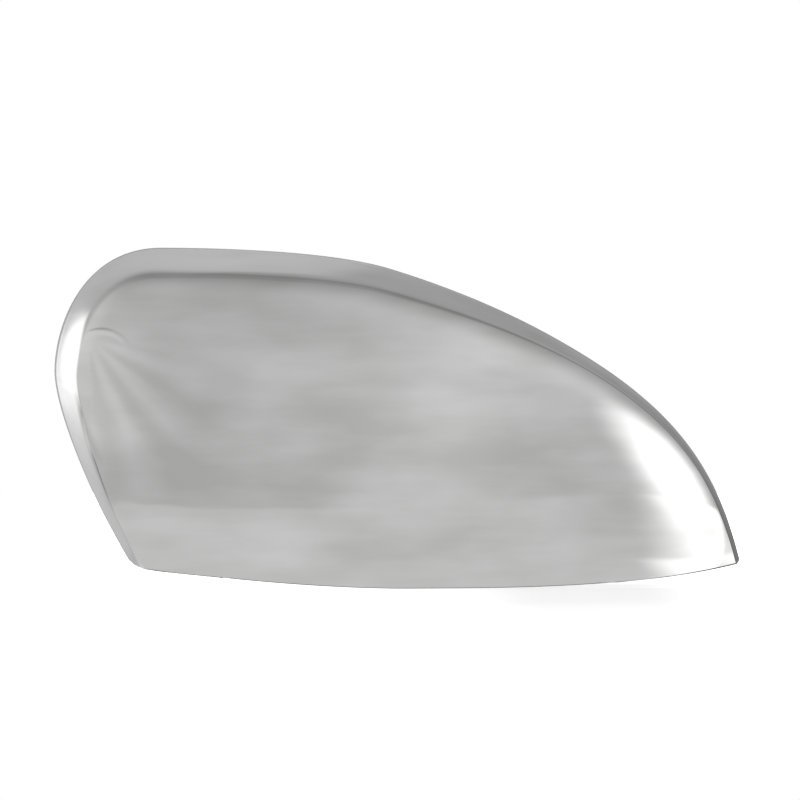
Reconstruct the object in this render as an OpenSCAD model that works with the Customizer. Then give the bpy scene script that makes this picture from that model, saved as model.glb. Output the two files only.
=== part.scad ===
// Wing mirror cover: one pressed shell of polished sheet steel, open at the back and along the bottom.
// X runs along the cover, Y points into the car's mirror housing, Z is up. Millimetres.
// The rear rim lies in the plane Y = 0 and the face bulges towards -Y.

/* [Overall size] */
// Width from the round end to the pointed end
cover_w = 241.3; // [170:1:320]
// Height from the lowest point of the bottom edge to the top
cover_h = 118.8; // [85:1:165]
// Depth from the rear rim to the foremost point of the face
cover_d = 66; // [40:1:90]
// Thickness of the sheet
sheet_t = 0.8; // [0.5:0.1:1.4]

/* [Turned side] */
// Width of the turned side seen from the front, where the bottom edge meets the round end
turn_w_foot = 5; // [3.5:0.1:6]
// The same width at the widest point of the round end
turn_w_end = 9.3; // [6:0.1:12]
// The same width at the top of the cover
turn_w_top = 9.6; // [6:0.1:12]
// The same width where the top starts to slope down
turn_w_slope = 8.2; // [5:0.1:11]
// The same width halfway down the slope
turn_w_low = 3.9; // [2.5:0.1:6]
// The same width at the pointed end
turn_w_tip = 1.8; // [1.4:0.1:3]
// How much the turned side bulges between rim and crease, as a share of its depth
turn_bulge = 0.15; // [0:0.01:0.3]
// Softness of the crease between turned side and face, as a share of the side's depth
crease_soft = 0.1; // [0.08:0.01:0.3]
// Width of the strip beside the crease over which the face leans back, at the round end
ease_w_end = 3; // [2:0.5:12]
// The same width along the top
ease_w_top = 7; // [5:0.5:14]
// The same width at the pointed end
ease_w_tip = 25; // [12:0.5:30]
// Extra lean of the face at the crease, as fall per unit of width
ease_lean = 0.6; // [0:0.05:0.8]

/* [Face] */
// Where the face is foremost, along the width
front_x = -50; // [-75:1:-25]
// Where the face is foremost, up the height
front_z = -12; // [-25:1:5]
// How far the face falls back towards the round end
fall_end = 16; // [6:1:24]
// How far the face falls back towards the pointed end
fall_tip = 44; // [30:1:46]
// How far the face falls back towards the top
fall_top = 20; // [8:1:26]
// How far the face falls back towards the bottom edge
fall_foot = 12; // [2:1:18]

/* [Corners] */
// Reach of the rounding at the lower corner of the round end
foot_round = 2; // [0.5:0.1:4]
// Reach of the rounding at the pointed end
tip_round = 1.8; // [0.5:0.1:3]

/* [Hidden] */

steel = [0.78, 0.79, 0.8];

// Stretch of the outline below from the width and height at which it was laid out
sx = cover_w / 241.3;
sz = cover_h / 118.8;

// Knots of the outline from the lower left corner over the top to the pointed end
foot_knot = [-93.3 * sx, -50.9 * sz];
end_knot = [-120.2 * sx, 17 * sz];
top_knot = [-82.6 * sx, 60.3 * sz];
slope_knot = [-2.4 * sx, 53 * sz];
low_knot = [69.7 * sx, 20.3 * sz];
tip_knot = [121.2 * sx, -50.6 * sz];
knots = [foot_knot, end_knot, top_knot, slope_knot, low_knot, tip_knot];
// Direction of the outline at each knot, in degrees
headings = [121.3, 90, 0, -17, -32.7, -76.2];
// Length of the curve handles that leave and reach each knot
leave = [28, 15, 24, 31, 40];
reach = [13, 28.3, 20, 23, 28.5];
turn_widths = [turn_w_foot, turn_w_end, turn_w_top, turn_w_slope, turn_w_low, turn_w_tip];
ease_widths = [
    ease_w_end,
    ease_w_end,
    ease_w_top,
    mix(ease_w_top, ease_w_tip, 0.5),
    mix(ease_w_top, ease_w_tip, 0.8),
    ease_w_tip
];

// Bottom edge: lowest a little right of the middle, rising by a power law to both sides
foot_x = 3.2 * sx;
foot_z = -58.5 * sz;
foot_left_run = 110 * sx;
foot_left_rise = 10.2 * sz;
foot_left_power = 1.72;
foot_right_run = 100 * sx;
foot_right_rise = 4.75 * sz;
foot_right_power = 3.2;

// Distances over which the falls of the face are measured, and over which its curve changes between two sides
end_run = 61 * sx;
tip_run = 171 * sx;
top_run = 60 * sz;
foot_run = 48 * sz;
blend_run = 60 * sx;

// Part of the bottom edge on which the last row of the mesh lies
last_from = -60 * sx;
last_to = 76 * sx;

// Columns of the mesh along the outline, closer together towards its two ends by this share
cols = 110;
end_crowding = 0.6;

// Rows of the mesh: shares of the turned side, then of the easing strip, then of the rest of the face
side_rows = [0, 0.35, 0.65, 0.8, 0.9, 1, 1.1, 1.25];
strip_rows = [0.12, 0.28, 0.48, 0.72, 1];
rest_count = 10;
rows = len(side_rows) + len(strip_rows) + rest_count - 1;
side_end = side_rows[len(side_rows) - 1];

function mix(a, b, t) = a + (b - a) * t;

function unit(v) = v / norm(v);

function heading(a) = [sx * cos(a), sz * sin(a)];

function bezier(a, b, c, d, t) =
    a * pow(1 - t, 3) + b * 3 * t * pow(1 - t, 2) + c * 3 * t * t * (1 - t) + d * pow(t, 3);

function bezier_way(a, b, c, d, t) =
    (b - a) * pow(1 - t, 2) + (c - b) * 2 * t * (1 - t) + (d - c) * t * t;

function handle_out(g) = knots[g] + heading(headings[g]) * leave[g];

function handle_in(g) = knots[g + 1] - heading(headings[g + 1]) * reach[g];

function rim_point(g, t) = bezier(knots[g], handle_out(g), handle_in(g), knots[g + 1], t);

// Length of the outline up to each of its sampled places, and the place itself (stretch plus share of it)
samples = 40;
stretches = len(leave);
sampled = [
    for (g = [0 : stretches - 1]) for (k = [0 : samples - 1]) rim_point(g, k / samples),
    tip_knot
];

function lengths(k, so_far) =
    k == len(sampled) - 1
        ? [[so_far, k / samples]]
        : concat([[so_far, k / samples]], lengths(k + 1, so_far + norm(sampled[k + 1] - sampled[k])));

length_table = lengths(0, 0);
full_length = length_table[len(length_table) - 1][0];

function crowded(share) = share - end_crowding * sin(360 * share) / 360 * 180 / PI;

function place_at(share) = lookup(crowded(share) * full_length, length_table);

function rim_way(g, t) = unit(bezier_way(knots[g], handle_out(g), handle_in(g), knots[g + 1], t));

// Smooth curve through the widths listed for the knots
function width_at(widths, g, t) =
    let (a = widths[max(g - 1, 0)], b = widths[g])
    let (c = widths[g + 1], d = widths[min(g + 2, len(widths) - 1)])
    b + t / 2 * (c - a + t * (2 * a - 5 * b + 4 * c - d + t * (3 * (b - c) + d - a)));

function foot_height(x) =
    x < foot_x
        ? foot_z + foot_left_rise * pow((foot_x - x) / foot_left_run, foot_left_power)
        : foot_z + foot_right_rise * pow((x - foot_x) / foot_right_run, foot_right_power);

function foot_slope(x) = foot_height(x + 0.5) - foot_height(x - 0.5);

// Fall of the face at distance d from its foremost line: a parabola that changes smoothly between two sides
function fall(d, low_fall, low_run, high_fall, high_run) =
    let (share = min(max(d / blend_run + 0.5, 0), 1))
    d * d * mix(low_fall / low_run ^ 2, high_fall / high_run ^ 2, share ^ 2 * (3 - 2 * share));

function face_depth(x, z) =
    cover_d
    - fall(x - front_x, fall_end, end_run, fall_tip, tip_run)
    - fall(z - front_z, fall_foot, foot_run, fall_top, top_run);

// How much a column bends away from the outline's normal to run along the bottom edge instead
function lean(g, t) = pow(max(1 - (g + t) / 0.6, 0), 2) + pow(max(1 - (stretches - g - t) / 0.4, 0), 2);

// Point at distance w inside the outline, seen from the front
function inset(g, t, w) =
    let (p = rim_point(g, t), q = rim_way(g, t))
    let (n = [q[1], -q[0]], side = g < 2 ? 1 : -1)
    let (along = unit([side, side * foot_slope(p[0])]))
    let (x = p[0] + along[0] * w / max(along * n, 0.3))
    let (low = [x, foot_height(x) + p[1] - foot_height(p[0])])
    mix(p + n * w, low, lean(g, t));

// Point on the rest of the face, a share of the way from the easing strip to the bottom edge
function rest_point(from, to_x, share) =
    let (x = mix(from[0], to_x, share))
    [x, foot_height(x) + (from[1] - foot_height(from[0])) * (1 - share)];

function side_depth(top, share) =
    share < 1
        ? top * share * (1 + turn_bulge * (1 - share))
        : top * (1 + (share - 1) * (1 - turn_bulge));

function soft_min(a, b, k) =
    let (h = max(k - abs(a - b), 0) / k)
    min(a, b) - h * h * k / 4;

// Pulls the points near a sharp corner towards the inside, so that the corner comes out round
function rounded(p, corner, inward, half_angle, size) =
    let (d = norm(p - corner) / size)
    d < 1 ? p + inward * size * cos(half_angle) / 2 * pow(1 - d, 2) : p;

foot_ways = [rim_way(0, 0), unit([1, foot_slope(foot_knot[0])])];
tip_ways = [-rim_way(4, 1), unit([-1, -foot_slope(tip_knot[0])])];

function half_angle(ways) = acos(ways[0] * ways[1]) / 2;

function both_rounded(p) =
    rounded(
        rounded(p, foot_knot, unit(foot_ways[0] + foot_ways[1]), half_angle(foot_ways), foot_round),
        tip_knot, unit(tip_ways[0] + tip_ways[1]), half_angle(tip_ways), tip_round
    );

function space_point(p, depth) =
    let (q = both_rounded(p))
    [q[0], -depth, q[1]];

// One column of the mesh, from the rear rim over the crease and down the face to the bottom edge
function column(g, t, share) =
    let (b = width_at(turn_widths, g, t), strip = width_at(ease_widths, g, t))
    let (crease = inset(g, t, b), strip_end = side_end * b + strip)
    let (ease_run = strip_end - b, ease_d = ease_lean * ease_run / 3)
    let (top = face_depth(crease[0], crease[1]) - ease_d)
    let (edge = inset(g, t, strip_end), last_x = mix(last_from, last_to, share))
    let (widths = concat([for (k = side_rows) k * b], [for (k = strip_rows) side_end * b + k * strip]))
    concat(
        [for (w = widths)
            let (p = inset(g, t, w))
            let (face = face_depth(p[0], p[1]) - ease_d * pow((strip_end - w) / ease_run, 3))
            space_point(p, soft_min(side_depth(top, w / b), face, crease_soft * top))],
        [for (k = [1 : rest_count])
            let (p = rest_point(edge, last_x, k / rest_count))
            space_point(p, face_depth(p[0], p[1]))]
    );

outer = [
    for (i = [0 : cols])
        let (place = place_at(i / cols), g = min(floor(place), stretches - 1))
        column(g, place - g, crowded(i / cols))
];

// Outward direction of the sheet at a point of the mesh; the two flat corners borrow it from beside them
function outward(i, j) =
    let (flat = j == rows && (i == 0 || i == cols))
    let (jj = flat ? rows - 1 : j)
    let (a = outer[min(i + 1, cols)][jj] - outer[max(i - 1, 0)][jj])
    let (b = outer[i][min(jj + 1, rows)] - outer[i][max(jj - 1, 0)])
    unit(cross(b, a));

function inner_point(i, j) =
    let (p = outer[i][j] - outward(i, j) * sheet_t)
    j == 0 ? [p[0], 0, p[2]] : p;

inner = [for (i = [0 : cols]) [for (j = [0 : rows]) inner_point(i, j)]];

shell_points = concat(
    [for (c = outer) each c],
    [for (c = inner) each c]
);

col_size = rows + 1;
skin_size = col_size * (cols + 1);

function at(i, j) = i * col_size + j;

// Two triangles for one cell, cut along the diagonal that suits its half of the cover
function cell(i, j) =
    i < cols / 2
        ? [[at(i, j), at(i + 1, j), at(i, j + 1)], [at(i + 1, j), at(i + 1, j + 1), at(i, j + 1)]]
        : [[at(i, j), at(i + 1, j + 1), at(i, j + 1)], [at(i, j), at(i + 1, j), at(i + 1, j + 1)]];

skin = [for (i = [0 : cols - 1]) for (j = [0 : rows - 1]) each cell(i, j)];

edge_loop = concat(
    [for (i = [0 : cols - 1]) at(i, 0)],
    [for (j = [0 : rows - 1]) at(cols, j)],
    [for (i = [cols : -1 : 1]) at(i, rows)],
    [for (j = [rows : -1 : 1]) at(0, j)]
);

function edge_pair(k) =
    let (a = edge_loop[k], b = edge_loop[(k + 1) % len(edge_loop)])
    [[a, a + skin_size, b], [b, a + skin_size, b + skin_size]];

shell_faces = concat(
    skin,
    [for (f = skin) [f[0] + skin_size, f[2] + skin_size, f[1] + skin_size]],
    [for (k = [0 : len(edge_loop) - 1]) each edge_pair(k)]
);

module cover_shell() {
    color(steel)
    polyhedron(points = shell_points, faces = shell_faces, convexity = 6);
}

cover_shell();
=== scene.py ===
import math

import bpy
import mathutils
import numpy as np
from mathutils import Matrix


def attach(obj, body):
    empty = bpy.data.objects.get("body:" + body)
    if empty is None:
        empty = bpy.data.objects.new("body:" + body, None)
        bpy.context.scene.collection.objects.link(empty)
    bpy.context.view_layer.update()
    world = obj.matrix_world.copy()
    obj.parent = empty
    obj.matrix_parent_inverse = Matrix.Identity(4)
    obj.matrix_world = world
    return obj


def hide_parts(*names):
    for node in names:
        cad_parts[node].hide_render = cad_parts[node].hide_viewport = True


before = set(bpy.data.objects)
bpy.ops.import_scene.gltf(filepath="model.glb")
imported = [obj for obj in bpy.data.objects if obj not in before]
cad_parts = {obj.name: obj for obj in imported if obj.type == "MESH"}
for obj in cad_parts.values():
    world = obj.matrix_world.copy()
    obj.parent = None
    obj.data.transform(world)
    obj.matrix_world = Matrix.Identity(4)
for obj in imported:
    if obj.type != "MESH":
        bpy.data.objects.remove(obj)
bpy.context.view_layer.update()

MM = 0.001


# Helpers

def linear(hex_colour):
    """sRGB hex to the linear RGBA that sockets take."""
    parts = [int(hex_colour[i:i + 2], 16) / 255 for i in (1, 3, 5)]
    return (*[c / 12.92 if c <= 0.04045 else ((c + 0.055) / 1.055) ** 2.4 for c in parts], 1.0)


def add_node(tree, kind, sockets=None, **settings):
    """Adds a node; each entry of sockets is either a value to set or another node's output to link."""
    node = tree.nodes.new(kind)
    for name, value in settings.items():
        setattr(node, name, value)
    for name, value in (sockets or {}).items():
        if isinstance(value, bpy.types.NodeSocket):
            tree.links.new(value, node.inputs[name])
        else:
            node.inputs[name].default_value = value
    return node


def faded(tree, level, ramps):
    """Level times smooth ramps; each is the socket it follows, its start and end, and its value at each."""
    for socket, start, end, low, high in ramps:
        ramp = add_node(tree, "ShaderNodeMapRange", {
            "Value": socket, "From Min": start, "From Max": end, "To Min": low, "To Max": high,
        }, interpolation_type="SMOOTHSTEP")
        level = add_node(tree, "ShaderNodeMath", {0: level, 1: ramp.outputs["Result"]},
                         operation="MULTIPLY").outputs["Value"]
    return level


def reach_and_turn(tree, place):
    """Distance from the origin, and turn from +X towards +Z in radians, as seen from the front."""
    flat = add_node(tree, "ShaderNodeVectorMath", {0: place, 1: (1.0, 0.0, 1.0)}, operation="MULTIPLY")
    reach = add_node(tree, "ShaderNodeVectorMath", {0: flat.outputs["Vector"]}, operation="LENGTH")
    part = add_node(tree, "ShaderNodeSeparateXYZ", {"Vector": place})
    turn = add_node(tree, "ShaderNodeMath", {0: part.outputs["Z"], 1: part.outputs["X"]}, operation="ARCTAN2")
    return reach.outputs["Value"], turn.outputs["Value"]


def empty_material(name):
    material = bpy.data.materials.new(name)
    material.use_nodes = True
    material.node_tree.nodes.clear()
    return material, material.node_tree


def mix(a, b, t):
    return a + (b - a) * t


def smooth(low, high, value):
    t = np.clip((value - low) / (high - low), 0, 1)
    return t * t * (3 - 2 * t)


# Outline of the rear rim: knots, headings in degrees and handle lengths, all in millimetres

KNOTS = np.array([(-93.3, -50.9), (-120.2, 17.0), (-82.6, 60.3), (-2.4, 53.0), (69.7, 20.3), (121.2, -50.6)])
HEADINGS = np.radians([121.3, 90, 0, -17, -32.7, -76.2])
LEAVE = [28, 15, 24, 31, 40]
REACH = [13, 28.3, 20, 23, 28.5]
STRETCHES = len(LEAVE)
TOP_KNOT = 2

# Width of the turned side and of the strip beside its crease, at each knot
TURN_WIDTHS = [5, 9.3, 9.6, 8.2, 3.9, 1.8]
EASE_WIDTHS = [3, 3, 7, 16, 21.4, 25]

# Extra slope of the strip at its crease, bulge of the turned side, and softness of the crease between them
EASE_LEAN = 0.6
TURN_BULGE = 0.15
CREASE_SOFT = 0.1

COVER_D = 66
SHEET_T = 0.8

# Foremost point of the face, its falls towards the four sides, each with the distance over which it is
# measured, and the distance over which the curve changes between two sides
FRONT_X, FRONT_Z = -50, -12
END_FALL = (16, 61)
TIP_FALL = (44, 171)
FOOT_FALL = (12, 48)
TOP_FALL = (20, 60)
BLEND_RUN = 60

# Bottom edge: its lowest point, and the run, rise and power of its curve to the left and to the right
FOOT_X, FOOT_Z = 3.2, -58.5
FOOT_LEFT = (110, 10.2, 1.72)
FOOT_RIGHT = (100, 4.75, 3.2)

# Distance from the outline's two corners at the bottom edge at which their rounding starts
FOOT_ROUND, TIP_ROUND = 2.0, 1.8

# Shares of the first and last stretch over which the columns bend to run along the bottom edge
FOOT_BEND, TIP_BEND = 0.6, 0.4

# Columns of the mesh, how much closer together they are towards the outline's ends, and the part of the
# bottom edge on which the last row lies
COLS = 460
END_CROWDING = 0.6
LAST_FROM, LAST_TO = -60, 76

# Cut edge: radius of its two corners, and the angles of the rings that round each of them
EDGE_ROUND = 0.38
EDGE_ANGLES = np.radians([18, 40, 62, 90])


def rim(place):
    """Point and unit direction of the outline at a place: number of the stretch plus the share of it."""
    g = np.minimum(place.astype(int), STRETCHES - 1)
    t = (place - g)[:, None]
    way = np.stack([np.cos(HEADINGS), np.sin(HEADINGS)], axis=1)
    a, d = KNOTS[g], KNOTS[g + 1]
    b = a + way[g] * np.array(LEAVE)[g][:, None]
    c = d - way[g + 1] * np.array(REACH)[g][:, None]
    point = a * (1 - t) ** 3 + b * 3 * t * (1 - t) ** 2 + c * 3 * t ** 2 * (1 - t) + d * t ** 3
    along = (b - a) * (1 - t) ** 2 + (c - b) * 2 * t * (1 - t) + (d - c) * t ** 2
    return point, along / np.linalg.norm(along, axis=1)[:, None]


def width_at(widths, place):
    """Smooth curve through the widths listed for the knots."""
    w = np.array([widths[0], *widths, widths[-1]], float)
    g = np.minimum(place.astype(int), STRETCHES - 1)
    t = place - g
    a, b, c, d = w[g], w[g + 1], w[g + 2], w[g + 3]
    return b + t / 2 * (c - a + t * (2 * a - 5 * b + 4 * c - d + t * (3 * (b - c) + d - a)))


def foot_height(x):
    """Height of the bottom edge at x."""
    left_run, left_rise, left_power = FOOT_LEFT
    right_run, right_rise, right_power = FOOT_RIGHT
    left = FOOT_Z + left_rise * np.maximum((FOOT_X - x) / left_run, 0) ** left_power
    right = FOOT_Z + right_rise * np.maximum((x - FOOT_X) / right_run, 0) ** right_power
    return np.where(x < FOOT_X, left, right)


def foot_slope(x):
    return foot_height(x + 0.5) - foot_height(x - 0.5)


def fall(d, low, high):
    """Fall of the face at distance d from its foremost line: a parabola that changes between two sides."""
    low_fall, low_run = low
    high_fall, high_run = high
    side = smooth(-BLEND_RUN / 2, BLEND_RUN / 2, d)
    return d * d * mix(low_fall / low_run ** 2, high_fall / high_run ** 2, side)


def face_depth(x, z):
    return COVER_D - fall(x - FRONT_X, END_FALL, TIP_FALL) - fall(z - FRONT_Z, FOOT_FALL, TOP_FALL)


def inset(place, w):
    """Points at distance w inside the outline, seen from the front, one for each place."""
    p, q = rim(place)
    normal = np.stack([q[:, 1], -q[:, 0]], axis=1)
    side = np.where(place < TOP_KNOT, 1.0, -1.0)
    slope = foot_slope(p[:, 0])
    along = np.stack([side, side * slope], axis=1) / np.sqrt(1 + slope ** 2)[:, None]
    # Where the outline runs nearly along the bottom edge, a point moves no further than w / 0.3
    x = p[:, 0] + along[:, 0] * w / np.maximum((along * normal).sum(axis=1), 0.3)
    low = np.stack([x, foot_height(x) + p[:, 1] - foot_height(p[:, 0])], axis=1)
    bend = np.maximum(1 - place / FOOT_BEND, 0) ** 2
    bend += np.maximum(1 - (STRETCHES - place) / TIP_BEND, 0) ** 2
    return mix(p + normal * w[:, None], low, bend[:, None])


def rounded(p, corner, ways, size):
    """Pulls points near a sharp corner of the outline inwards, so that it comes out round."""
    inward = ways[0] + ways[1]
    inward /= np.linalg.norm(inward)
    half = math.acos(float(ways[0] @ ways[1])) / 2
    d = np.minimum(np.linalg.norm(p - corner, axis=-1) / size, 1)
    return p + inward * (size * math.cos(half) / 2 * (1 - d) ** 2)[..., None]


def unit2(x, z):
    return np.array([x, z]) / math.hypot(x, z)


# Columns of the sheet, spaced along the outline

fine = np.linspace(0, STRETCHES, 4001)
fine_points, _ = rim(fine)
fine_length = np.concatenate([[0], np.cumsum(np.linalg.norm(np.diff(fine_points, axis=0), axis=1))])
share = np.linspace(0, 1, COLS + 1)
share = share - END_CROWDING * np.sin(2 * math.pi * share) / (2 * math.pi)
place = np.interp(share * fine_length[-1], fine_length, fine)

# Rows: over the turned side and across its crease, in widths of that side, then over the easing strip and
# down the rest of the face; the strip ends its own width beyond SIDE_END widths of the side
SIDE_END = 1.25
SIDE_ROWS = np.concatenate([np.linspace(0, 0.7, 8), np.linspace(0.76, 1.3, 16)])
STRIP_ROWS = np.linspace(0, 1, 15)[1:] ** 1.2
REST_ROWS = np.linspace(0, 1, 43)[1:]


def soft_min(a, b, k):
    h = np.maximum(k - np.abs(a - b), 0) / k
    return np.minimum(a, b) - h * h * k / 4


def outer_skin():
    """Points of the outer surface: first index along the outline, second from rear rim to bottom edge."""
    b = width_at(TURN_WIDTHS, place)
    strip_end = SIDE_END * b + width_at(EASE_WIDTHS, place)
    ease_run = strip_end - b
    ease_d = EASE_LEAN * ease_run / 3
    crease = inset(place, b)
    top = face_depth(crease[:, 0], crease[:, 1]) - ease_d
    rows = []
    widths = [k * b for k in SIDE_ROWS] + [mix(SIDE_ROWS[-1] * b, strip_end, k) for k in STRIP_ROWS]
    for w in widths:
        p = inset(place, w)
        ratio = w / b
        rise = np.where(
            ratio < 1,
            top * ratio * (1 + TURN_BULGE * (1 - ratio)),
            top * (1 + (ratio - 1) * (1 - TURN_BULGE)),
        )
        face = face_depth(p[:, 0], p[:, 1]) - ease_d * ((strip_end - w) / ease_run) ** 3
        rows.append((p, soft_min(rise, face, CREASE_SOFT * top)))
    edge = rows[-1][0]
    last_x = mix(LAST_FROM, LAST_TO, share)
    for k in REST_ROWS:
        x = mix(edge[:, 0], last_x, k)
        z = foot_height(x) + (edge[:, 1] - foot_height(edge[:, 0])) * (1 - k)
        rows.append((np.stack([x, z], axis=1), face_depth(x, z)))
    flat = np.stack([p for p, _ in rows], axis=1)
    depth = np.stack([d for _, d in rows], axis=1)
    _, ends = rim(np.array([0.0, float(STRETCHES)]))
    foot_ways = [ends[0], unit2(1, foot_slope(KNOTS[0, 0]))]
    tip_ways = [-ends[1], unit2(-1, -foot_slope(KNOTS[-1, 0]))]
    flat = rounded(rounded(flat, KNOTS[0], foot_ways, FOOT_ROUND), KNOTS[-1], tip_ways, TIP_ROUND)
    return np.stack([flat[..., 0], -depth, flat[..., 1]], axis=-1)


def outward(grid):
    """Unit normals of the grid, pointing out of the cover."""
    a = np.gradient(grid, axis=0)
    b = np.gradient(grid, axis=1)
    n = np.cross(b, a)
    n /= np.maximum(np.linalg.norm(n, axis=-1), 1e-12)[..., None]
    n[0, -1] = n[1, -2]
    n[-1, -1] = n[-2, -2]
    return n


def unit_rows(v):
    return v / np.maximum(np.linalg.norm(v, axis=-1), 1e-12)[..., None]


def build_shell():
    """The pressed sheet as one closed mesh: outer skin, inner skin and a cut edge with softened corners."""
    outer = outer_skin()
    normal = outward(outer)
    inner = outer - normal * SHEET_T
    inner[:, 0, 1] = 0
    cols, rows = outer.shape[:2]

    loop = [(i, 0) for i in range(cols - 1)]
    loop += [(cols - 1, j) for j in range(rows - 1)]
    loop += [(i, rows - 1) for i in range(cols - 1, 0, -1)]
    loop += [(0, j) for j in range(rows - 1, 0, -1)]
    ii = np.array([i for i, _ in loop])
    jj = np.array([j for _, j in loop])

    # Frame of the cut edge at each point of the loop: across the sheet, and outwards in its plane
    across = unit_rows(outer[ii, jj] - inner[ii, jj])
    run = outer[np.roll(ii, -1), np.roll(jj, -1)] - outer[np.roll(ii, 1), np.roll(jj, 1)]
    off = unit_rows(np.cross(across, run))
    inside = outer[np.clip(ii, 2, cols - 3), np.clip(jj, 2, rows - 3)]
    off *= np.sign(((outer[ii, jj] - inside) * off).sum(axis=1))[:, None]

    edge_rings = []
    for surface, over, angles in ((outer, across, EDGE_ANGLES), (inner, -across, EDGE_ANGLES[::-1])):
        centre = surface[ii, jj] - (off + over) * EDGE_ROUND
        for angle in angles:
            edge_rings.append(centre + (over * math.cos(angle) + off * math.sin(angle)) * EDGE_ROUND)
    outer[ii, jj] -= off * EDGE_ROUND
    inner[ii, jj] -= off * EDGE_ROUND

    points = np.concatenate([outer.reshape(-1, 3), inner.reshape(-1, 3), *edge_rings]) * MM
    skin = cols * rows
    ring = len(loop)

    faces = []
    for i in range(cols - 1):
        for j in range(rows - 1):
            a, b, c, d = i * rows + j, (i + 1) * rows + j, (i + 1) * rows + j + 1, i * rows + j + 1
            faces.append((a, b, c, d))
            faces.append((a + skin, d + skin, c + skin, b + skin))
    skin_faces = len(faces)
    chain = [ii * rows + jj] + [2 * skin + k * ring + np.arange(ring) for k in range(len(edge_rings))]
    chain.append(skin + ii * rows + jj)
    for first, second in zip(chain, chain[1:]):
        for k in range(ring):
            n = (k + 1) % ring
            faces.append((int(first[n]), int(first[k]), int(second[k]), int(second[n])))

    mesh = bpy.data.meshes.new("cover_shell_sheet")
    mesh.from_pydata(points.tolist(), [], faces)
    mesh.polygons.foreach_set("use_smooth", [True] * len(mesh.polygons))
    back = mesh.attributes.new("back_side", "BOOLEAN", "FACE")
    back.data.foreach_set("value", [k < skin_faces and k % 2 == 1 for k in range(len(faces))])
    cut = mesh.attributes.new("cut_edge", "BOOLEAN", "FACE")
    cut.data.foreach_set("value", [k >= skin_faces for k in range(len(faces))])
    mesh.update()
    shell = bpy.data.objects.new("cover_shell_pressed", mesh)
    bpy.context.scene.collection.objects.link(shell)
    return shell


# Materials

# Tight corner of the round end, from which the sheet drew into folds, and the centre of the arched wrinkle
# beside it, on Object coordinates in metres
PINCH = (-0.107, 0.0, 0.029)
ARCH_CENTRE = (-0.102, 0.0, 0.0184)


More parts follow.
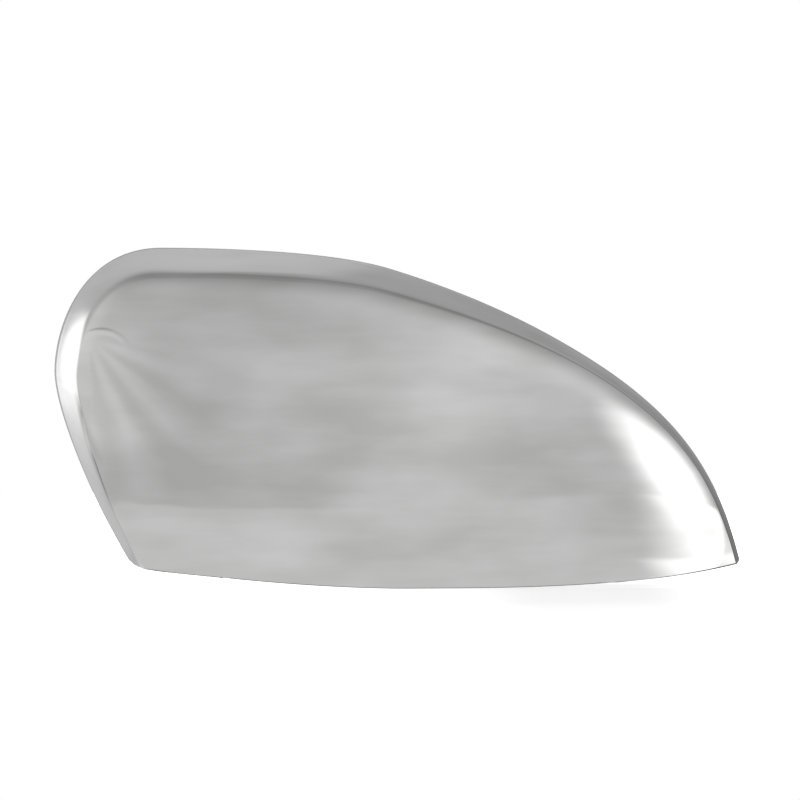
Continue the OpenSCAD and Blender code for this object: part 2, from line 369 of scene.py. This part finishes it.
def polished_stainless():
    """Stainless steel sheet, buffed to a mirror: cool grey, with a faint haze, the press's draw marks, and
    painted reflections in its colour.
    """
    material, tree = empty_material("polished_stainless_steel")
    spot = add_node(tree, "ShaderNodeTexCoord").outputs["Object"]

    # Cloudy haze of the buffing, with blotches of painted reflection in the colour: patches about 40 mm wide
    # and 20 mm high, and streaks about 6 mm high
    patch_map = add_node(tree, "ShaderNodeMapping", {"Vector": spot, "Scale": (24.0, 24.0, 46.0)})
    patches = add_node(tree, "ShaderNodeTexNoise", {
        "Vector": patch_map.outputs["Vector"], "Scale": 1.0, "Detail": 2.0, "Roughness": 0.45,
    })
    streak_map = add_node(tree, "ShaderNodeMapping", {"Vector": spot, "Scale": (30.0, 30.0, 170.0)})
    streaks = add_node(tree, "ShaderNodeTexNoise", {
        "Vector": streak_map.outputs["Vector"], "Scale": 1.0, "Detail": 3.0, "Roughness": 0.5,
    })

    # Draw marks that fan out from the pinched corner down over the face: pale rays of painted reflection
    # about
    # 22 degrees apart, each bent by a noise along it
    from_pinch = add_node(tree, "ShaderNodeMapping", {"Vector": spot, "Location": tuple(-c for c in PINCH)})
    reach, turn = reach_and_turn(tree, from_pinch.outputs["Vector"])
    ray_place = add_node(tree, "ShaderNodeCombineXYZ", {"X": turn, "Y": reach})
    ray_map = add_node(tree, "ShaderNodeMapping", {
        "Vector": ray_place.outputs["Vector"], "Scale": (4.0, 30.0, 1.0),
    })
    bend = add_node(tree, "ShaderNodeTexNoise", {
        "Vector": ray_map.outputs["Vector"], "Scale": 1.0, "Detail": 2.0,
    })
    bent = add_node(tree, "ShaderNodeMath", {0: bend.outputs["Fac"], 1: 2.5, 2: 6.5},
                    operation="MULTIPLY_ADD")
    phase = add_node(tree, "ShaderNodeMath", {0: turn, 1: 16.0, 2: bent.outputs["Value"]},
                     operation="MULTIPLY_ADD")
    ray_wave = add_node(tree, "ShaderNodeMath", {0: phase.outputs["Value"]}, operation="SINE")
    rays = add_node(tree, "ShaderNodeMapRange", {
        "Value": ray_wave.outputs["Value"], "From Min": -1.0, "To Min": 0.25, "To Max": 0.75,
    })
    strength = faded(tree, 0.34, (
        (turn, -1.6, -1.4, 0.0, 1.0),
        (turn, -0.35, -0.05, 1.0, 0.0),
        (reach, 0.003, 0.014, 0.0, 1.0),
        (reach, 0.035, 0.085, 1.0, 0.0),
    ))
    mottle = add_node(tree, "ShaderNodeMix", {
        "Factor": 0.28, "A": patches.outputs["Fac"], "B": streaks.outputs["Fac"],
    }, data_type="FLOAT")
    painted_blotches_and_rays = add_node(tree, "ShaderNodeMix", {
        "Factor": strength, "A": mottle.outputs["Result"], "B": rays.outputs["Result"],
    }, data_type="FLOAT")
    tone = add_node(tree, "ShaderNodeMapRange", {
        "Value": painted_blotches_and_rays.outputs["Result"], "From Min": 0.36, "From Max": 0.64,
    })
    # Colour: the steel's grey with lighter and darker blotches and pale rays, all painted reflections
    colour = add_node(tree, "ShaderNodeMix", {
        "Factor": tone.outputs["Result"], "A": linear("#c0c0bf"), "B": linear("#d2d2d2"),
    }, data_type="RGBA")
    haze = add_node(tree, "ShaderNodeMapRange", {
        "Value": streaks.outputs["Fac"], "From Min": 0.3, "From Max": 0.7, "To Min": 0.07, "To Max": 0.14,
    })

    # Small wrinkle beside the pinch, 3 mm wide: an arch of 12 mm radius, which fades out to the right
    from_arch = add_node(tree, "ShaderNodeMapping", {
        "Vector": spot, "Location": tuple(-c for c in ARCH_CENTRE),
    })
    arch_reach, _ = reach_and_turn(tree, from_arch.outputs["Vector"])
    arch_part = add_node(tree, "ShaderNodeSeparateXYZ", {"Vector": from_arch.outputs["Vector"]})
    height = faded(tree, 1.0, (
        (arch_reach, 0.0106, 0.0124, 0.0, 1.0),
        (arch_reach, 0.0124, 0.0136, 1.0, 0.0),
        (arch_part.outputs["Z"], 0.004, 0.008, 0.0, 1.0),
        (arch_part.outputs["X"], -0.006, -0.0035, 0.0, 1.0),
        (arch_part.outputs["X"], 0.0, 0.011, 1.0, 0.0),
    ))
    wrinkle = add_node(tree, "ShaderNodeBump", {"Height": height, "Strength": 1.0, "Distance": 0.0003})

    steel = add_node(tree, "ShaderNodeBsdfPrincipled", {
        "Base Color": colour.outputs["Result"],
        "Roughness": haze.outputs["Result"],
        "Normal": wrinkle.outputs["Normal"],
        "Metallic": 1.0,
    })
    add_node(tree, "ShaderNodeOutputMaterial", {"Surface": steel.outputs["BSDF"]})
    return material


def mill_finish_stainless():
    """Back of the sheet, as rolled and not buffed: duller and more even, with rolling lines along it."""
    material, tree = empty_material("mill_finish_stainless_steel")
    spot = add_node(tree, "ShaderNodeTexCoord").outputs["Object"]
    # Rolling lines, drawn 1.5 mm apart instead of a few hundredths so that they show
    line_map = add_node(tree, "ShaderNodeMapping", {"Vector": spot, "Scale": (20.0, 20.0, 650.0)})
    lines = add_node(tree, "ShaderNodeTexNoise", {
        "Vector": line_map.outputs["Vector"], "Scale": 1.0, "Detail": 2.0, "Roughness": 0.5,
    })
    colour = add_node(tree, "ShaderNodeMix", {
        "Factor": lines.outputs["Fac"], "A": linear("#a9a9a7"), "B": linear("#b9b9b7"),
    }, data_type="RGBA")
    grain = add_node(tree, "ShaderNodeMapRange", {
        "Value": lines.outputs["Fac"], "To Min": 0.34, "To Max": 0.46,
    })
    steel = add_node(tree, "ShaderNodeBsdfPrincipled", {
        "Base Color": colour.outputs["Result"], "Roughness": grain.outputs["Result"], "Metallic": 1.0,
    })
    add_node(tree, "ShaderNodeOutputMaterial", {"Surface": steel.outputs["BSDF"]})
    return material


def sheared_edge_painted_shade():
    """Cut edge of the sheet, cut by the shear and only wiped over: a thin dull grey line round the cover, its
    colour darkened into painted shade.
    """
    material, tree = empty_material("sheared_edge_steel_with_painted_shade")
    spot = add_node(tree, "ShaderNodeTexCoord").outputs["Object"]
    # Tear marks of the shear, about 2 mm long
    tears = add_node(tree, "ShaderNodeTexNoise", {"Vector": spot, "Scale": 500.0, "Detail": 2.0})
    # Colours far darker than steel: painted shade that draws the dark line round the cover's outline
    colour = add_node(tree, "ShaderNodeMix", {
        "Factor": tears.outputs["Fac"], "A": linear("#575756"), "B": linear("#6b6b69"),
    }, data_type="RGBA")
    grain = add_node(tree, "ShaderNodeMapRange", {
        "Value": tears.outputs["Fac"], "To Min": 0.4, "To Max": 0.55,
    })
    steel = add_node(tree, "ShaderNodeBsdfPrincipled", {
        "Base Color": colour.outputs["Result"], "Roughness": grain.outputs["Result"], "Metallic": 1.0,
    })
    add_node(tree, "ShaderNodeOutputMaterial", {"Surface": steel.outputs["BSDF"]})
    return material


# Press marks

def pressed_sheet_tree(polished, mill, edge_finish_and_shade):
    """Geometry Nodes tree that gives the sheet its low waves and the folds that fan out from one corner."""
    tree = bpy.data.node_groups.new("pressed_sheet", "GeometryNodeTree")
    for name, kind in (
        ("Geometry", "NodeSocketGeometry"),
        ("Wave Depth", "NodeSocketFloat"),
        ("Wave Length", "NodeSocketFloat"),
        ("Wave Seed", "NodeSocketFloat"),
        ("Fold Depth", "NodeSocketFloat"),
        ("Fold Corner", "NodeSocketVector"),
    ):
        tree.interface.new_socket(name, in_out="INPUT", socket_type=kind)
    tree.interface.new_socket("Geometry", in_out="OUTPUT", socket_type="NodeSocketGeometry")
    sizes = add_node(tree, "NodeGroupInput").outputs
    spot = add_node(tree, "GeometryNodeInputPosition").outputs["Position"]

    # Low waves in the drawn sheet, 1.6 times as long along the cover as up it, and the same on both of its
    # sides, because only the place on the face counts
    face_place = add_node(tree, "ShaderNodeVectorMath", {0: spot, 1: (1.0, 0.0, 1.6)}, operation="MULTIPLY")
    per_metre = add_node(tree, "ShaderNodeMath", {0: 1.0, 1: sizes["Wave Length"]}, operation="DIVIDE")
    wave_place = add_node(tree, "ShaderNodeVectorMath", {
        0: face_place.outputs["Vector"], "Scale": per_metre.outputs["Value"],
    }, operation="SCALE")
    waves = add_node(tree, "ShaderNodeTexNoise", {
        "Vector": wave_place.outputs["Vector"], "W": sizes["Wave Seed"], "Scale": 1.0, "Detail": 1.0,
    }, noise_dimensions="4D")
    wave_depth = add_node(tree, "ShaderNodeMath", {0: waves.outputs["Fac"], 1: sizes["Wave Depth"]},
                          operation="MULTIPLY")

    # Folds: a noise of the direction from the corner, faded in and out over the distance and the direction
    from_corner = add_node(tree, "ShaderNodeVectorMath", {0: spot, 1: sizes["Fold Corner"]},
                           operation="SUBTRACT")
    reach, turn = reach_and_turn(tree, from_corner.outputs["Vector"])
    folds = add_node(tree, "ShaderNodeTexNoise", {"W": turn, "Scale": 4.0, "Detail": 0.5},
                     noise_dimensions="1D")
    full_fold = add_node(tree, "ShaderNodeMath", {0: folds.outputs["Fac"], 1: sizes["Fold Depth"]},
                         operation="MULTIPLY")
    fold_depth = faded(tree, full_fold.outputs["Value"], (
        (turn, -1.5, -1.2, 0.0, 1.0),
        (turn, -0.4, -0.1, 1.0, 0.0),
        (reach, 0.01, 0.04, 0.0, 1.0),
        (reach, 0.035, 0.095, 1.0, 0.0),
    ))

    # Nothing moves at the rear rim, so that it stays flat
    depth = add_node(tree, "ShaderNodeMath", {0: wave_depth.outputs["Value"], 1: fold_depth}, operation="ADD")
    part = add_node(tree, "ShaderNodeSeparateXYZ", {"Vector": spot})
    held = faded(tree, depth.outputs["Value"], ((part.outputs["Y"], -0.03, -0.003, 1.0, 0.0),))
    shift = add_node(tree, "ShaderNodeCombineXYZ", {"Y": held})
    moved = add_node(tree, "GeometryNodeSetPosition", {
        "Geometry": sizes["Geometry"], "Offset": shift.outputs["Vector"],
    })
    real = add_node(tree, "GeometryNodeRealizeInstances", {"Geometry": moved.outputs["Geometry"]})
    finished = add_node(tree, "GeometryNodeSetMaterial", {
        "Geometry": real.outputs["Geometry"], "Material": polished,
    })
    for name, material in (("back_side", mill), ("cut_edge", edge_finish_and_shade)):
        chosen = add_node(tree, "GeometryNodeInputNamedAttribute", {"Name": name}, data_type="BOOLEAN")
        finished = add_node(tree, "GeometryNodeSetMaterial", {
            "Geometry": finished.outputs["Geometry"], "Selection": chosen.outputs["Attribute"],
            "Material": material,
        })
    add_node(tree, "NodeGroupOutput", {"Geometry": finished.outputs["Geometry"]})
    return tree


def press(shell, *finishes):
    """Runs the press marks over the sheet and keeps the result as a plain mesh."""
    tree = pressed_sheet_tree(*finishes)
    settings = {
        "Wave Depth": 0.45 * MM,
        "Wave Length": 46 * MM,
        "Wave Seed": 3.0,
        "Fold Depth": 0.4 * MM,
        "Fold Corner": PINCH,
    }
    modifier = shell.modifiers.new("press_marks", "NODES")
    modifier.node_group = tree
    for item in tree.interface.items_tree:
        if item.in_out == "INPUT" and item.name in settings:
            modifier[item.identifier] = settings[item.name]
    evaluated = shell.evaluated_get(bpy.context.evaluated_depsgraph_get())
    pressed = bpy.data.meshes.new_from_object(evaluated)
    shell.modifiers.remove(modifier)
    shell.data = pressed


shell = build_shell()
press(shell, polished_stainless(), mill_finish_stainless(), sheared_edge_painted_shade())
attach(shell, "root")
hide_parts("cover_shell")


# Studio

def light_level(tree, along, base, patches):
    """Base brightness plus patches; each is a product of smooth ramps along the named axes."""
    level = base
    for ramps in patches:
        patch = faded(tree, 1.0, [(along[axis], *ramp) for axis, *ramp in ramps])
        level = add_node(tree, "ShaderNodeMath", {0: level, 1: patch}, operation="ADD").outputs["Value"]
    return level


# What the steel sees of the table, painted light and shade. Each ramp is its axis, its start and end along
# it, and its value before and after them; the axes are white_table_top's, in metres but for fan and turn,
# which are ratios
TABLE_LEVEL = 0.86
TABLE_PATCHES = [
    # Painted shade behind the cover, and light again far behind on the left
    [("y", 0.0, 0.1, 0.0, -0.3)],
    [("y", 0.3, 1.3, 0.0, 0.62), ("turn", -0.4, -0.33, 1.0, 0.0)],
    [("y", 1.2, 2.4, 0.0, 0.3), ("turn", -0.4, -0.33, 1.0, 0.0)],
    # Painted shadow of the cover: darker strips beside the round end
    [("x", -0.2, -0.15, -0.2, 0.0), ("y", -0.01, 0.03, 0.0, 1.0), ("y", 0.12, 0.25, 1.0, 0.0)],
    [("x", -0.32, -0.25, 0.3, 0.0), ("y", -0.05, 0.05, 0.0, 1.0), ("y", 0.3, 0.6, 1.0, 0.0)],
    [("x", -0.173, -0.156, -0.15, 0.0), ("y", -0.01, 0.03, 1.0, 0.0)],
    [("x", -0.155, -0.105, 0.0, -0.16), ("x", -0.102, -0.095, 1.0, 0.0), ("y", -0.045, -0.01, 0.0, 1.0),
     ("y", 0.06, 0.14, 1.0, 0.0)],
    # Pool of light on the right, with a strip close to the bottom edge and a spot by the pointed end
    [("x", 0.09, 0.105, 0.0, 0.5), ("strip", -0.0815, -0.077, 0.0, 1.0), ("y", -0.01, 0.015, 1.0, 0.0)],
    [("x", 0.12, 0.16, 0.0, 0.5), ("y", -0.03, -0.02, 0.0, 1.0), ("y", -0.01, 0.015, 1.0, 0.0)],
    [("slant", 0.058, 0.108, 0.0, 1.0), ("fan", 0.0, 0.1, 1.0, 0.0)],
    # Painted shadow: darker under the middle and beyond the pointed end
    [("slant", 0.0, 0.02, 0.0, -0.06), ("slant", 0.05, 0.07, 1.0, 0.0), ("y", -0.07, -0.05, 1.0, 0.0)],
    [("x", 0.2, 0.32, 0.0, 1.0), ("fan", 0.0, 0.1, 0.0, -0.3)],
]

# Light from below through the table, less of it in front on the right, where the shadow shows
TABLE_GLOW = 0.53
GLOW_PATCHES = [
    [("x", -0.01, 0.05, 0.4, 0.0)],
    [("x", 0.08, 0.13, 0.0, 0.4)],
    [("y", 0.1, 0.4, 0.0, 0.4)],
]

# What the steel sees of the tent, in the same way, with the axes of the unit direction from the cover
TENT_LEVEL = 0.715
TENT_PATCHES = [
    # Front of the tent, a little brighter to the right of the camera
    [("x", -0.5, 0.1, 0.0, 0.04)],
    [("x", 0.05, 0.38, 0.0, 0.11), ("x", 0.4, 0.58, 1.0, 0.0), ("y", 0.0, 0.3, 1.0, 0.0)],
    [("x", 0.28, 0.4, 0.0, 0.07), ("x", 0.46, 0.58, 1.0, 0.0), ("z", -0.02, 0.12, 0.0, 1.0),
     ("z", 0.3, 0.5, 1.0, 0.0), ("y", 0.0, 0.3, 1.0, 0.0)],
    [("x", -0.05, 0.08, 0.0, 0.05), ("x", 0.18, 0.3, 1.0, 0.0), ("z", 0.3, 0.45, 0.0, 1.0),
     ("z", 0.62, 0.75, 1.0, 0.0), ("y", 0.0, 0.3, 1.0, 0.0)],
    # Side of the tent on the left, brighter
    [("x", -0.85, -0.45, 0.25, 0.0), ("z", -0.1, 0.15, 0.0, 1.0)],
    # Dim patch in the cloth
    [("x", -0.38, -0.22, 0.0, -0.05), ("x", -0.08, 0.04, 1.0, 0.0), ("z", 0.22, 0.36, 0.0, 1.0),
     ("z", 0.55, 0.7, 1.0, 0.0), ("y", 0.0, 0.3, 1.0, 0.0)],
    # Roof, dimmer up to the seam where it turns down on the right
    [("z", 0.55, 0.85, 0.0, -0.06), ("x", -0.5, -0.1, 0.0, 1.0), ("x", 0.25, 0.45, 1.0, 0.0),
     ("y", -0.3, 0.1, 1.0, 0.0)],
    [("x", 0.35, 0.5, 0.0, 0.12), ("z", 0.55, 0.72, 0.0, 1.0), ("y", -0.3, 0.1, 1.0, 0.0)],
    # Dim ring between the tent and the backdrop, gone on the left and dimmest on the right
    [("y", -0.3, 0.3, 0.0, -0.36), ("y", 0.62, 0.88, 1.0, 0.0), ("x", -0.7, -0.2, 0.0, 1.0)],
    [("y", 0.0, 0.35, 0.0, -0.12), ("x", 0.45, 0.7, 0.0, 1.0), ("y", 0.75, 0.92, 1.0, 0.0)],
    # Backdrop, dimmer low down on the right
    [("y", 0.5, 0.9, 0.0, -0.12)],
    [("x", 0.0, 0.09, 0.0, 1.0), ("z", 0.0, 0.4, -0.28, -0.05), ("y", 0.5, 0.9, 0.0, 1.0)],
    [("slant", 0.17, 0.205, 0.0, -0.13), ("y", 0.5, 0.9, 0.0, 1.0)],
    # Window behind on the left
    [("slant", -0.35, -0.326, 0.9, 0.0), ("y", 0.5, 0.75, 0.0, 1.0), ("z", 0.2, 0.3, 1.0, 0.0)],
    # Softbox on the right
    [("x", 0.687, 0.927, 0.0, 1.7), ("lean", -0.25, 0.1, 1.0, 0.0), ("z", 0.66, 0.85, 1.0, 0.0)],
]


def white_table_top():
    """Matt white table: white with the cover's shadow to the camera, and to the steel the painted light and
    shade listed above.
    """
    material, tree = empty_material("white_table_top")
    ray = add_node(tree, "ShaderNodeLightPath")
    spot = add_node(tree, "ShaderNodeTexCoord").outputs["Object"]
    part = add_node(tree, "ShaderNodeSeparateXYZ", {"Vector": spot})
    # Slant and strip: straight axes across the table, turned from +X and from +Y
    slant = add_node(tree, "ShaderNodeVectorMath", {0: spot, 1: (1.0, 0.87, 0.0)}, operation="DOT_PRODUCT")
    strip = add_node(tree, "ShaderNodeVectorMath", {0: spot, 1: (-0.42, 1.0, 0.0)}, operation="DOT_PRODUCT")
    # Fan: 0 straight out sideways from the pointed end, more towards the back
    aside = add_node(tree, "ShaderNodeMath", {0: part.outputs["X"], 1: 0.1}, operation="SUBTRACT")
    aside = add_node(tree, "ShaderNodeMath", {0: aside.outputs["Value"], 1: 0.02}, operation="MAXIMUM")
    behind = add_node(tree, "ShaderNodeMath", {0: part.outputs["Y"], 1: 0.02})
    fan = add_node(tree, "ShaderNodeMath", {0: behind.outputs["Value"], 1: aside.outputs["Value"]},
                   operation="DIVIDE")
    # Turn: 0 straight behind the middle of the cover, below 0 on the left
    away = add_node(tree, "ShaderNodeMath", {0: part.outputs["Y"], 1: 0.05}, operation="MAXIMUM")
    turn = add_node(tree, "ShaderNodeMath", {0: part.outputs["X"], 1: away.outputs["Value"]},
                    operation="DIVIDE")
    along = {
        "x": part.outputs["X"], "y": part.outputs["Y"], "slant": slant.outputs["Value"],
        "strip": strip.outputs["Value"], "fan": fan.outputs["Value"], "turn": turn.outputs["Value"],
    }
    # Painted reflection: the table's light and shade, shown to glossy rays only
    mirrored_level = light_level(tree, along, TABLE_LEVEL, TABLE_PATCHES)
    mirrored = add_node(tree, "ShaderNodeEmission", {"Strength": mirrored_level})
    matt = add_node(tree, "ShaderNodeBsdfDiffuse", {"Color": linear("#cbcbcb")})
    glow_level = light_level(tree, along, TABLE_GLOW, GLOW_PATCHES)
    glow = add_node(tree, "ShaderNodeEmission", {"Strength": glow_level})
    both = add_node(tree, "ShaderNodeAddShader", {0: matt.outputs["BSDF"], 1: glow.outputs["Emission"]})
    seen = add_node(tree, "ShaderNodeMixShader", {
        0: ray.outputs["Is Glossy Ray"], 1: both.outputs["Shader"], 2: mirrored.outputs["Emission"],
    })
    add_node(tree, "ShaderNodeOutputMaterial", {"Surface": seen.outputs["Shader"]})
    return material


def stage_piece(name, points, faces, material):
    """Piece of the studio, which is no part of the cover."""
    mesh = bpy.data.meshes.new(name)
    mesh.from_pydata(points, [], faces)
    mesh.materials.append(material)
    piece = bpy.data.objects.new(name, mesh)
    bpy.context.scene.collection.objects.link(piece)
    return piece


# Table, right under the bottom edge, which is 0.1 mm higher where its corners are softened; the table's front
# part only takes the shadow, because the steel's picture of the table ends at TABLE_FRONT
TABLE_Z = (FOOT_Z + 0.1) * MM
TABLE_REACH = 2500 * MM
TABLE_FRONT = -130 * MM
APRON_FRONT = -600 * MM
table_material = white_table_top()
for name, front, back in (("table_top", TABLE_FRONT, TABLE_REACH), ("table_apron", APRON_FRONT, TABLE_FRONT)):
    corners = [(-TABLE_REACH, front), (TABLE_REACH, front), (TABLE_REACH, back), (-TABLE_REACH, back)]
    piece = stage_piece(name, [(x, y, TABLE_Z) for x, y in corners], [(0, 1, 2, 3)], table_material)
    piece.visible_glossy = name == "table_top"


def tent_cloth():
    """Diffusing cloth of the studio tent, which glows as listed above by its direction from the cover."""
    material, tree = empty_material("diffusing_cloth")
    spot = add_node(tree, "ShaderNodeTexCoord").outputs["Object"]
    way = add_node(tree, "ShaderNodeVectorMath", {0: spot}, operation="NORMALIZE").outputs["Vector"]
    part = add_node(tree, "ShaderNodeSeparateXYZ", {"Vector": way})
    slant = add_node(tree, "ShaderNodeVectorMath", {0: way, 1: (1.0, 0.0, 0.36)}, operation="DOT_PRODUCT")
    lean = add_node(tree, "ShaderNodeVectorMath", {0: way, 1: (0.0, 1.0, 0.2)}, operation="DOT_PRODUCT")
    along = {
        "x": part.outputs["X"], "y": part.outputs["Y"], "z": part.outputs["Z"],
        "slant": slant.outputs["Value"], "lean": lean.outputs["Value"],
    }
    level = light_level(tree, along, TENT_LEVEL, TENT_PATCHES)
    glow = add_node(tree, "ShaderNodeEmission", {"Strength": level})
    add_node(tree, "ShaderNodeOutputMaterial", {"Surface": glow.outputs["Emission"]})
    material.cycles.emission_sampling = "NONE"
    return material


# Tent: a sphere around everything that the camera looks through and the steel mirrors
TENT_RADIUS = 10.0
RINGS, SEGMENTS = 16, 32
tent_points = [
    (TENT_RADIUS * math.sin(math.pi * i / RINGS) * math.cos(2 * math.pi * j / SEGMENTS),
     TENT_RADIUS * math.sin(math.pi * i / RINGS) * math.sin(2 * math.pi * j / SEGMENTS),
     TENT_RADIUS * math.cos(math.pi * i / RINGS))
    for i in range(RINGS + 1) for j in range(SEGMENTS)
]
tent_faces = [
    (i * SEGMENTS + j, i * SEGMENTS + (j + 1) % SEGMENTS,
     (i + 1) * SEGMENTS + (j + 1) % SEGMENTS, (i + 1) * SEGMENTS + j)
    for i in range(RINGS) for j in range(SEGMENTS)
]
tent = stage_piece("tent", tent_points, tent_faces, tent_cloth())
tent.visible_camera = False
tent.visible_shadow = False

# White background for every ray that reaches it
world = bpy.data.worlds.new("white_background")
bpy.context.scene.world = world
world.use_nodes = True
world.node_tree.nodes.clear()
backdrop = add_node(world.node_tree, "ShaderNodeBackground", {"Color": (1, 1, 1, 1), "Strength": 1.0})
add_node(world.node_tree, "ShaderNodeOutputWorld", {"Surface": backdrop.outputs["Background"]})

# Soft lamp above, behind and to the left, which casts the shadow on the table and isn't mirrored in the steel
LAMP_WIDTH, LAMP_DEPTH = 500 * MM, 300 * MM
LAMP_PLACE = (-250 * MM, 1100 * MM, 500 * MM)
LAMP_WATTS = 12
lamp_data = bpy.data.lights.new("shadow_lamp", "AREA")
lamp_data.shape = "RECTANGLE"
lamp_data.size, lamp_data.size_y = LAMP_WIDTH, LAMP_DEPTH
lamp_data.energy = LAMP_WATTS
lamp = bpy.data.objects.new("shadow_lamp", lamp_data)
bpy.context.scene.collection.objects.link(lamp)
lamp.location = LAMP_PLACE
lamp.rotation_euler = mathutils.Vector(LAMP_PLACE).to_track_quat("Z", "Y").to_euler()
lamp.visible_glossy = False

# Camera, straight in front of the face and about level with its middle
CAMERA_X, CAMERA_Z = 1.4 * MM, 6.7 * MM
DISTANCE = 2500 * MM
FRAME_WIDTH = 281.6 * MM
camera_data = bpy.data.cameras.new("camera")
camera_data.sensor_width = 36
camera_data.lens = camera_data.sensor_width * DISTANCE / FRAME_WIDTH
camera_data.clip_end = 50
camera = bpy.data.objects.new("camera", camera_data)
bpy.context.scene.collection.objects.link(camera)
camera.location = (CAMERA_X, -DISTANCE, CAMERA_Z)
camera.rotation_euler = (math.pi / 2, 0, 0)
bpy.context.scene.camera = camera

bpy.context.scene.view_settings.view_transform = "Standard"
